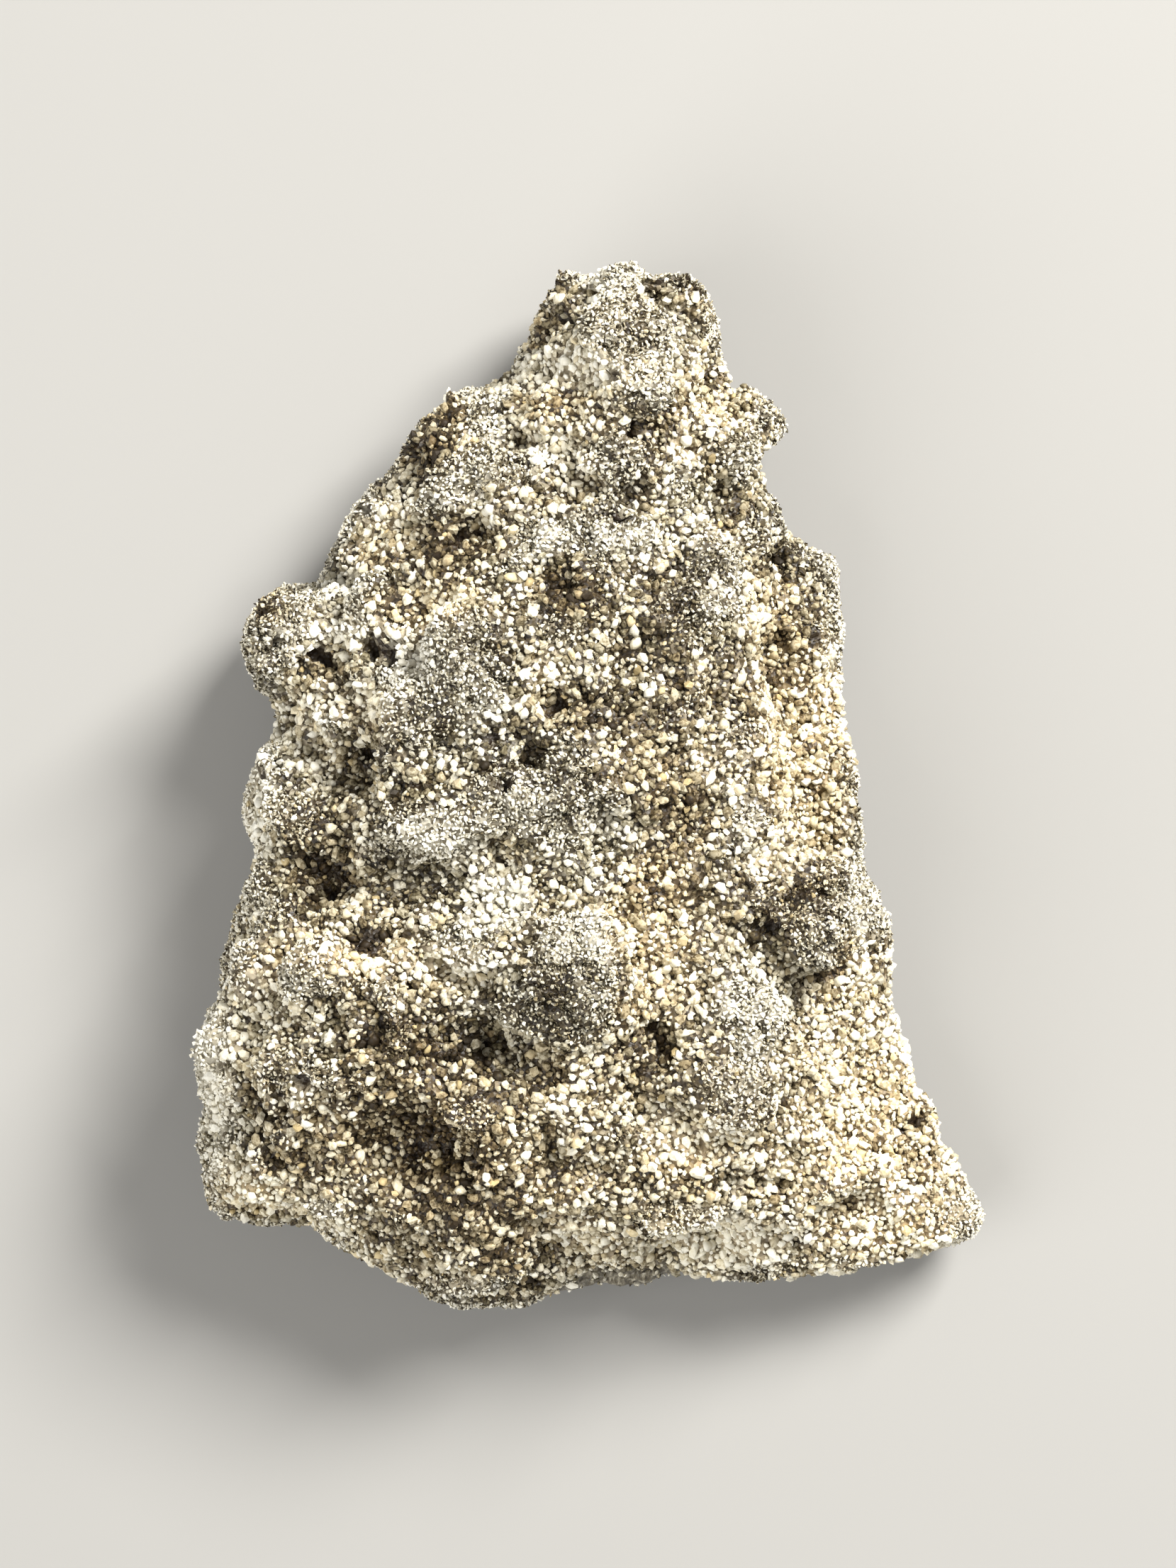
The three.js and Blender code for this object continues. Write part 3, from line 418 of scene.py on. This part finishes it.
# Grain colours from darkest to palest, for the grey fused tops and for the warm loose sand.
GREY_GRAINS = [
    (0.00, (0.020, 0.013, 0.005)), (0.12, (0.060, 0.046, 0.021)), (0.28, (0.210, 0.180, 0.110)),
    (0.50, (0.49, 0.452, 0.345)), (0.74, (0.79, 0.755, 0.64)), (1.00, (0.89, 0.868, 0.785)),
]
WARM_GRAINS = [
    (0.00, (0.026, 0.016, 0.007)), (0.12, (0.095, 0.062, 0.026)), (0.28, (0.285, 0.215, 0.115)),
    (0.50, (0.58, 0.48, 0.295)), (0.74, (0.82, 0.735, 0.525)), (1.00, (0.88, 0.835, 0.68)),
]

GRAIN_SHEEN = 0.3  # specular level of the grains
CLOUD_SIZE = 0.16 * MM  # size of the light and dark clouds within the grains
CLOUD_STRENGTH = 0.3  # how strongly they lighten and darken a grain
LACE_SIZE = 0.10 * MM  # size of the dark lace that the melt left on the fused tops
LACE_LEVELS = (0.40, 0.54)  # noise between which the lace fades out
TINT_STRENGTH = 0.7  # how strongly a grain's own tint shifts the warmth of its place
AMBER_SHARE = 0.025  # share of the grains that are amber where the sand is warm
AMBER_STRENGTH = 0.7  # how far amber takes over in the warmest sand
AMBER = (0.76, 0.60, 0.31)
STAIN_AND_SHADE_DEPTH = 0.46  # how far the stains, pale patches and painted light and shade of the skin shift the grains in them
CHIP_SIZE = 0.07 * MM  # size and depth of the chips in a grain's skin
CHIP_DEPTH = 0.02 * MM


def grain_material(name, roughness, spread, floor, lace, warmth=-0.02):
    """Sand grains: each has its own tone, shifted by the stains and the painted light and shade of the
    place it sits in.
    """
    material, nodes, shader = new_material(name, roughness, GRAIN_SHEEN)
    place = nodes.add("ShaderNodeTexCoord").outputs["Object"]
    cloud = nodes.math("SUBTRACT", nodes.cloud(place, CLOUD_SIZE, detail=2.0), 0.5)
    tone = nodes.math("MULTIPLY_ADD", nodes.attribute("tone"), spread, floor)
    # the skin's stains and its painted light and shade
    tone = nodes.math("MULTIPLY_ADD", nodes.attribute("shade"), STAIN_AND_SHADE_DEPTH, tone)
    tone = nodes.math("MULTIPLY_ADD", cloud, CLOUD_STRENGTH, tone)
    thread = nodes.fade(nodes.cloud(place, LACE_SIZE, detail=3.0), LACE_LEVELS, (lace, 0.0))
    tone = nodes.math("SUBTRACT", tone, thread, clamp=True)
    warm = nodes.math("MULTIPLY_ADD", nodes.attribute("tint"), TINT_STRENGTH, nodes.attribute("warm"))
    warm = nodes.math("ADD", warm, warmth, clamp=True)
    colour = nodes.mix(warm, nodes.ramp(tone, GREY_GRAINS), nodes.ramp(tone, WARM_GRAINS))
    amber = nodes.math("GREATER_THAN", nodes.attribute("tint"), 0.5 - AMBER_SHARE)
    amber = nodes.math("MULTIPLY", amber, nodes.math("MULTIPLY", warm, AMBER_STRENGTH))
    colour = nodes.mix(amber, colour, AMBER)
    nodes.tree.links.new(colour, shader.inputs["Base Color"])
    chips = nodes.cloud(place, CHIP_SIZE, detail=1.0)
    bump = nodes.add("ShaderNodeBump", inputs={"Height": chips, "Distance": CHIP_DEPTH, "Strength": 0.5})
    nodes.tree.links.new(bump.outputs[0], shader.inputs["Normal"])
    return material


# Colours of the glass between the grains, from its darkest to its palest specks.
GREY_GLASS = [(0.0, (0.018, 0.011, 0.004)), (0.5, (0.080, 0.062, 0.032)), (1.0, (0.45, 0.42, 0.34))]
BROWN_GLASS = [(0.0, (0.020, 0.010, 0.003)), (0.5, (0.095, 0.060, 0.022)), (1.0, (0.42, 0.32, 0.18))]
BARE_GLASS = [(0.30, (0.030, 0.022, 0.012)), (0.50, (0.165, 0.142, 0.098)), (0.70, (0.50, 0.46, 0.36))]
# Painted shade in the pores: a near-black colour laid over the glass in their depths.
PORE_SHADE_COLOUR = (0.02, 0.010, 0.005)
PORE_SHADE_STRENGTH = 0.9  # how far that painted shade takes over in the depth of a pore
SPECK_SIZE = 0.13 * MM  # size of the specks in the glass
GLASS_STAIN_AND_SHADE = 0.5  # how far the stains, pale patches and painted light and shade of the skin shift the glass under the grains
GLASS_WARMTH = 0.1  # what the glass adds to the warmth of its place
UNDERSIDE_PALE = 0.35  # how much paler the worn underside is
STREAK_SIZE = 0.09 * MM  # width of the upright streaks of the bare glass along the broken end
STREAK_STRETCH = (1.0, 0.5, 0.42)  # a number under 1 draws the streaks out along that axis
BARE_STRENGTH = 1.2  # over 1, so that the middle of the strip is fully bare
GLASS_ROUGHNESS = 0.5
BARE_POLISH = 0.22  # how much smoother the bare glass is
GLASS_RELIEF = 0.05 * MM  # depth of the fine bumps of the glass


def body_material():
    """Dark glass between the grains, shifted by the skin's stains and painted light and shade, with
    painted shade in the pores and bare grey along the broken rim.
    """
    material, nodes, shader = new_material("fused_glass", GLASS_ROUGHNESS)
    place = nodes.add("ShaderNodeTexCoord").outputs["Object"]
    cells = nodes.add("ShaderNodeTexVoronoi", inputs={"Vector": place, "Scale": 1 / SPECK_SIZE})
    speck = nodes.add("ShaderNodeSeparateColor", inputs={0: cells.outputs["Color"]}).outputs[0]
    # the skin's stains and its painted light and shade
    speck = nodes.math("MULTIPLY_ADD", nodes.attribute("shade"), GLASS_STAIN_AND_SHADE, speck)
    speck = nodes.math("MULTIPLY_ADD", nodes.attribute("under"), UNDERSIDE_PALE, speck, clamp=True)
    warm = nodes.math("ADD", nodes.attribute("warm"), GLASS_WARMTH, clamp=True)
    colour = nodes.mix(warm, nodes.ramp(speck, GREY_GLASS), nodes.ramp(speck, BROWN_GLASS))
    # painted shade in the pores
    pore = nodes.math("MULTIPLY", nodes.attribute("pore"), PORE_SHADE_STRENGTH, clamp=True)
    colour = nodes.mix(pore, colour, PORE_SHADE_COLOUR)
    along = nodes.add("ShaderNodeVectorMath", operation="MULTIPLY", inputs={0: place, 1: STREAK_STRETCH})
    streaks = nodes.cloud(along.outputs[0], STREAK_SIZE, detail=5.0)
    glassy = nodes.math("MULTIPLY", nodes.attribute("glassy"), BARE_STRENGTH, clamp=True)
    colour = nodes.mix(glassy, colour, nodes.ramp(streaks, BARE_GLASS))
    polish = nodes.math("MULTIPLY_ADD", glassy, -BARE_POLISH, GLASS_ROUGHNESS)
    nodes.tree.links.new(polish, shader.inputs["Roughness"])
    nodes.tree.links.new(colour, shader.inputs["Base Color"])
    height = nodes.math("ADD", cells.outputs["Distance"], nodes.math("MULTIPLY", streaks, glassy))
    bump = nodes.add("ShaderNodeBump", inputs={"Height": height, "Distance": GLASS_RELIEF})
    nodes.tree.links.new(bump.outputs[0], shader.inputs["Normal"])
    return material


# ---- The grains ----

CLEARANCE = 0.20 * MM  # no grain is set lower than this over the ground
CROWDING = 2.2  # grains tried on each square of the spacing
FROTH_WARMTH = 1.1  # how strongly a warm place keeps the fused flakes off a crest
FROTH_START = 0.1  # crests higher than this, less their warmth, are fused
PORE_MOUTH = 0.22  # no grain is set where a pore is deeper than this share
RIM_GRAINS = 0.10  # share of the grains that stick to the bare glass of the rim
BARENESS_LEVELS = (0.3, 0.7)  # bareness of the glass between which the grains thin out
WORN_GRAINS = 0.3  # share of the grains left on the worn underside
WORN_LEVELS = (-0.5, 0.0)  # upward part of the skin's normal between which they thin out

GRAIN_FORMS = 7  # different grain shapes to draw from in each family
DENT_SIZE = 0.9  # scale of the dents, and how far apart those of two forms are
DENT_STEP = 3.1
NARROWEST = 0.78  # width over length of the narrowest form, and what the wider ones add
WIDTH_STEP = 0.06
WIDTHS = 4
# The families of shapes: how deep their dents are, their thickness over their length from the stoutest to
# the thinnest, how far a grain may tip from lying flat, in radians, and how many in three are rounded.
SHAPES = {
    "sand": dict(dent=1.9, stout=0.80, thin=0.50, tip=0.9, rounded=1),
    "flakes": dict(dent=2.3, stout=0.60, thin=0.28, tip=1.3, rounded=0),
}
# Each zone of grains: whether it is the fused tops (1) or the rest (0), the spacing, the smallest and the
# largest size, how high a grain's middle lies over the body, the seed, the material and the shapes.
ZONES = {
    "sand": dict(fused=0.0, spacing=0.195 * MM, size=(0.088 * MM, 0.215 * MM), lift=0.045 * MM, seed=11,
                 finish="sand_grain", shape="sand"),
    "between": dict(fused=0.0, spacing=0.163 * MM, size=(0.058 * MM, 0.105 * MM), lift=0.04 * MM, seed=13,
                    finish="sand_grain", shape="sand"),
    "stray": dict(fused=0.0, spacing=1.25 * MM, size=(0.150 * MM, 0.215 * MM), lift=0.07 * MM, seed=17,
                  finish="cream_grain", shape="sand"),
    "froth": dict(fused=1.0, spacing=0.100 * MM, size=(0.055 * MM, 0.110 * MM), lift=0.035 * MM, seed=12,
                  finish="froth_grain", shape="flakes"),
}
# The lots that the zones are split into: the zone, and from which to which share of its grains.
LOTS = {
    "sand_grains_a": dict(zone="sand", share=(0.0, 0.5)),
    "sand_grains_b": dict(zone="sand", share=(0.5, 1.0)),
    "small_grains_a": dict(zone="between", share=(0.0, 0.5)),
    "small_grains_b": dict(zone="between", share=(0.5, 1.0)),
    "stray_grains": dict(zone="stray", share=(0.0, 1.0)),
    "froth_grains_a": dict(zone="froth", share=(0.0, 0.34)),
    "froth_grains_b": dict(zone="froth", share=(0.34, 0.67)),
    "froth_grains_c": dict(zone="froth", share=(0.67, 1.0)),
}
# Seeds of the draws that each grain gets.
LOT_SEED = 1
TONE_SEED = 2
TINT_SEED = 3
TURN_SEED = 4
FORM_SEED = 5
SIZE_SEED = 6


def new_grain_tree(name):
    tree = bpy.data.node_groups.new("scattered_" + name, "GeometryNodeTree")
    face = tree.interface
    face.new_socket("Body", in_out="INPUT", socket_type="NodeSocketGeometry")
    for number in ("Zone", "Share From", "Share To", "Spacing", "Smallest", "Largest", "Lift"):
        face.new_socket(number, in_out="INPUT", socket_type="NodeSocketFloat")
    face.new_socket("Seed", in_out="INPUT", socket_type="NodeSocketInt")
    face.new_socket("Finish", in_out="INPUT", socket_type="NodeSocketMaterial")
    face.new_socket("Grains", in_out="OUTPUT", socket_type="NodeSocketGeometry")
    return tree


def named(nodes, name):
    """A number that the body or its grains carry under a name."""
    inputs = {"Name": name}
    return nodes.add("GeometryNodeInputNamedAttribute", data_type="FLOAT", inputs=inputs).outputs[0]


def socket_of(sockets, kind, place=0):
    return [s for s in sockets if s.type == kind][place]


def drawn(nodes, seed):
    """A number between 0 and 1 drawn for each grain."""
    node = nodes.add("FunctionNodeRandomValue", data_type="FLOAT", inputs={"Seed": seed})
    return socket_of(node.outputs, "VALUE")


def upward_part(nodes, kind):
    """How far the skin's position or normal reaches upwards."""
    return nodes.add("ShaderNodeSeparateXYZ", inputs={0: nodes.add(kind).outputs[0]}).outputs[2]


def grain_density(nodes, zone):
    """1 where the zone's grains lie, 0 where they don't, and between where they are thinned."""
    warmth = nodes.math("MULTIPLY", named(nodes, "warm"), FROTH_WARMTH)
    froth = nodes.math("SUBTRACT", named(nodes, "crest"), warmth)
    froth = nodes.math("GREATER_THAN", froth, FROTH_START)
    density = nodes.math("COMPARE", froth, zone, 0.5)
    covered = nodes.math("LESS_THAN", named(nodes, "pore"), PORE_MOUTH)
    thinned = nodes.fade(named(nodes, "glassy"), BARENESS_LEVELS, (1.0, RIM_GRAINS))
    density = nodes.math("MULTIPLY", density, nodes.math("MULTIPLY", covered, thinned))
    seen = nodes.fade(upward_part(nodes, "GeometryNodeInputNormal"), WORN_LEVELS, (WORN_GRAINS, 1.0))
    clear = nodes.math("GREATER_THAN", upward_part(nodes, "GeometryNodeInputPosition"), CLEARANCE)
    return nodes.math("MULTIPLY", density, nodes.math("MULTIPLY", seen, clear))


def grain_forms(nodes, shape):
    """Dented pebbles, each with its own dents, width and thickness, to draw from."""
    forms = nodes.add("GeometryNodeJoinGeometry")
    for form in range(GRAIN_FORMS):
        ball = nodes.add("GeometryNodeMeshIcoSphere", inputs={"Radius": 1.0, "Subdivisions": 1}).outputs[0]
        dent = nodes.add("ShaderNodeTexNoise", inputs={"Scale": DENT_SIZE, "W": DENT_STEP * form},
                         noise_dimensions="4D")
        shift = nodes.add("ShaderNodeVectorMath", operation="SUBTRACT",
                          inputs={0: dent.outputs["Color"], 1: (0.5, 0.5, 0.5)}).outputs[0]
        shift = nodes.add("ShaderNodeVectorMath", operation="SCALE",
                          inputs={0: shift, "Scale": shape["dent"]}).outputs[0]
        ball = nodes.add("GeometryNodeSetPosition", inputs={"Geometry": ball, "Offset": shift}).outputs[0]
        thickness = shape["stout"] + (shape["thin"] - shape["stout"]) * form / (GRAIN_FORMS - 1)
        squash = (1.0, NARROWEST + WIDTH_STEP * (form % WIDTHS), thickness)
        ball = nodes.add("GeometryNodeTransform", inputs={"Geometry": ball, "Scale": squash}).outputs[0]
        rounded = form % 3 < shape["rounded"]
        ball = nodes.add("GeometryNodeSetShadeSmooth",
                         inputs={"Geometry": ball, "Shade Smooth": rounded}).outputs[0]
        single = nodes.add("GeometryNodeGeometryToInstance", inputs={"Geometry": ball})
        nodes.tree.links.new(single.outputs[0], forms.inputs[0])
    return forms.outputs[0]


def grain_rotation(nodes, lying, tip):
    """Turns each grain any way round and tips it from lying flat."""
    turn = nodes.add("FunctionNodeRandomValue", data_type="FLOAT_VECTOR", inputs={"Seed": TURN_SEED})
    socket_of(turn.inputs, "VECTOR", 0).default_value = (-tip, -tip, 0.0)
    socket_of(turn.inputs, "VECTOR", 1).default_value = (tip, tip, math.tau)
    tipped = nodes.add("FunctionNodeEulerToRotation", inputs={0: socket_of(turn.outputs, "VECTOR")})
    turned = nodes.add("FunctionNodeRotateRotation", rotation_space="LOCAL",
                       inputs={0: lying, 1: tipped.outputs[0]})
    return turned.outputs[0]


def grain_size(nodes, smallest, largest):
    """A size for each grain, with more small ones than large ones."""
    size = drawn(nodes, SIZE_SEED)
    size = nodes.math("MULTIPLY", size, size)
    return nodes.math("MULTIPLY_ADD", size, nodes.math("SUBTRACT", largest, smallest), smallest)


def drawn_form(nodes):
    which = nodes.add("FunctionNodeRandomValue", data_type="INT", inputs={"Seed": FORM_SEED})
    socket_of(which.inputs, "INT", 0).default_value = 0
    socket_of(which.inputs, "INT", 1).default_value = GRAIN_FORMS - 1
    return socket_of(which.outputs, "INT")


def grain_tree(name, shape):
    """Scatters one lot of grains over the body, as plain mesh."""
    tree = new_grain_tree(name)
    nodes = Nodes(tree)
    given = nodes.add("NodeGroupInput").outputs
    crowd = nodes.math("DIVIDE", CROWDING, nodes.math("MULTIPLY", given["Spacing"], given["Spacing"]))
    scatter = nodes.add(
        "GeometryNodeDistributePointsOnFaces",
        distribute_method="POISSON",
        inputs={"Mesh": given["Body"], "Distance Min": given["Spacing"], "Density Max": crowd,
                "Density Factor": grain_density(nodes, given["Zone"]), "Seed": given["Seed"]},
    )
    rise = nodes.add("ShaderNodeVectorMath", operation="SCALE",
                     inputs={0: scatter.outputs["Normal"], "Scale": given["Lift"]}).outputs[0]
    points = nodes.add("GeometryNodeSetPosition", inputs={"Geometry": scatter.outputs[0], "Offset": rise})
    lot = drawn(nodes, LOT_SEED)
    before = nodes.math("LESS_THAN", lot, given["Share From"])
    after = nodes.math("GREATER_THAN", lot, given["Share To"])
    other = nodes.math("ADD", before, after)
    points = nodes.add("GeometryNodeDeleteGeometry", domain="POINT",
                       inputs={"Geometry": points.outputs[0], "Selection": other})
    tint = nodes.math("SUBTRACT", drawn(nodes, TINT_SEED), 0.5)
    for key, value in (("tone", drawn(nodes, TONE_SEED)), ("tint", tint)):
        points = nodes.add("GeometryNodeStoreNamedAttribute", data_type="FLOAT", domain="POINT",
                           inputs={"Geometry": points.outputs[0], "Name": key, "Value": value})
    placed = nodes.add(
        "GeometryNodeInstanceOnPoints",
        inputs={"Points": points.outputs[0], "Instance": grain_forms(nodes, shape), "Pick Instance": True,
                "Instance Index": drawn_form(nodes),
                "Rotation": grain_rotation(nodes, scatter.outputs["Rotation"], shape["tip"]),
                "Scale": grain_size(nodes, given["Smallest"], given["Largest"])},
    )
    solid = nodes.add("GeometryNodeRealizeInstances", inputs={"Geometry": placed.outputs[0]})
    done = nodes.add("GeometryNodeSetMaterial",
                     inputs={"Geometry": solid.outputs[0], "Material": given["Finish"]})
    nodes.add("NodeGroupOutput", inputs={0: done.outputs[0]})
    return tree


def socket_ids(tree):
    return {s.name: s.identifier for s in tree.interface.items_tree if s.in_out == "INPUT"}


def grain_lot(name, body, tree, values):
    """One lot of grains as a plain mesh piece."""
    carrier = bpy.data.objects.new(name + "_carrier", body.data)
    bpy.context.scene.collection.objects.link(carrier)
    modifier = carrier.modifiers.new("grains", "NODES")
    modifier.node_group = tree
    identifiers = socket_ids(tree)
    for key, value in values.items():
        modifier[identifiers[key]] = value
    evaluated = carrier.evaluated_get(bpy.context.evaluated_depsgraph_get())
    mesh = bpy.data.meshes.new_from_object(evaluated)
    mesh.name = name
    piece = bpy.data.objects.new(name, mesh)
    bpy.context.scene.collection.objects.link(piece)
    bpy.data.objects.remove(carrier)
    return piece


def dress():
    body = fused_body(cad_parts["fulgurite"])
    body.data.materials.append(body_material())
    finishes = {
        "sand_grain": grain_material("sand_grain", 0.6, spread=0.75, floor=0.30, lace=0.20),
        "cream_grain": grain_material("cream_grain", 0.55, spread=0.30, floor=0.56, lace=0.08, warmth=0.5),
        "froth_grain": grain_material("froth_grain", 0.5, spread=0.75, floor=0.40, lace=0.62),
    }
    trees = {name: grain_tree(name, shape) for name, shape in SHAPES.items()}
    for name, lot in LOTS.items():
        zone = ZONES[lot["zone"]]
        values = {
            "Zone": zone["fused"], "Share From": lot["share"][0], "Share To": lot["share"][1],
            "Spacing": zone["spacing"], "Smallest": zone["size"][0], "Largest": zone["size"][1],
            "Lift": zone["lift"], "Seed": zone["seed"], "Finish": finishes[zone["finish"]],
        }
        grains = grain_lot(name, body, trees[zone["shape"]], values)
        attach(grains, "root")
    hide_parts("fulgurite")
    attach(body, "root")


# ---- The studio ----

CAMERA_HEIGHT = 154 * MM
CAMERA_SHIFT = (-0.03 * MM, 0.06 * MM)  # from the middle of the shard, along x and y
SENSOR_HEIGHT = 24  # millimetres
NEAREST_SEEN = 0.01  # metres
FRAME_HEIGHT = 44.24 * MM  # height of the view at the level of the shard's edge
EDGE_LEVEL = 4.0 * MM  # height of the shard's edge over the floor
FLOOR_SIZE = 0.6  # metres
FLOOR_COLOUR = (0.33, 0.325, 0.315)
# The lamps: direction, distance and size in metres, power and colour.
LAMPS = {
    "key": ((0.52, 0.55, 0.76), 0.30, 0.12, 2.09, (1.0, 0.98, 0.935)),
    "fill": ((-0.7, -0.45, 0.75), 0.35, 0.30, 1.05, (1.0, 0.99, 0.96)),
}
SKY_COLOUR = (1.0, 0.985, 0.95)
SKY_STRENGTH = 0.31


def lay_floor():
    mesh = bpy.data.meshes.new("floor")
    half = FLOOR_SIZE / 2
    corners = [(-half, -half, 0), (half, -half, 0), (half, half, 0), (-half, half, 0)]
    mesh.from_pydata(corners, [], [(0, 1, 2, 3)])
    floor = bpy.data.objects.new("floor", mesh)
    bpy.context.scene.collection.objects.link(floor)
    material, _, shader = new_material("floor", roughness=0.9, specular=0.2)
    shader.inputs["Base Color"].default_value = (*FLOOR_COLOUR, 1)
    mesh.materials.append(material)


def hang_light(name, direction, distance, size, power, colour):
    light = bpy.data.lights.new(name, "AREA")
    light.size = size
    light.energy = power
    light.color = colour
    lamp = bpy.data.objects.new(name, light)
    towards = Vector(direction).normalized()
    lamp.location = towards * distance
    lamp.rotation_euler = towards.to_track_quat("Z", "Y").to_euler()
    bpy.context.scene.collection.objects.link(lamp)


def set_camera():
    camera = bpy.data.cameras.new("camera")
    camera.sensor_fit = "VERTICAL"
    camera.sensor_height = SENSOR_HEIGHT
    camera.lens = SENSOR_HEIGHT * (CAMERA_HEIGHT - EDGE_LEVEL) / FRAME_HEIGHT
    camera.clip_start = NEAREST_SEEN
    holder = bpy.data.objects.new("camera", camera)
    holder.location = (*CAMERA_SHIFT, CAMERA_HEIGHT)
    bpy.context.scene.collection.objects.link(holder)
    bpy.context.scene.camera = holder


def set_studio():
    lay_floor()
    for name, lamp in LAMPS.items():
        hang_light(name, *lamp)
    world = bpy.data.worlds.new("studio")
    world.use_nodes = True
    background = world.node_tree.nodes["Background"]
    background.inputs["Color"].default_value = (*SKY_COLOUR, 1)
    background.inputs["Strength"].default_value = SKY_STRENGTH
    bpy.context.scene.world = world
    bpy.context.scene.view_settings.view_transform = "Standard"


dress()
set_studio()
set_camera()
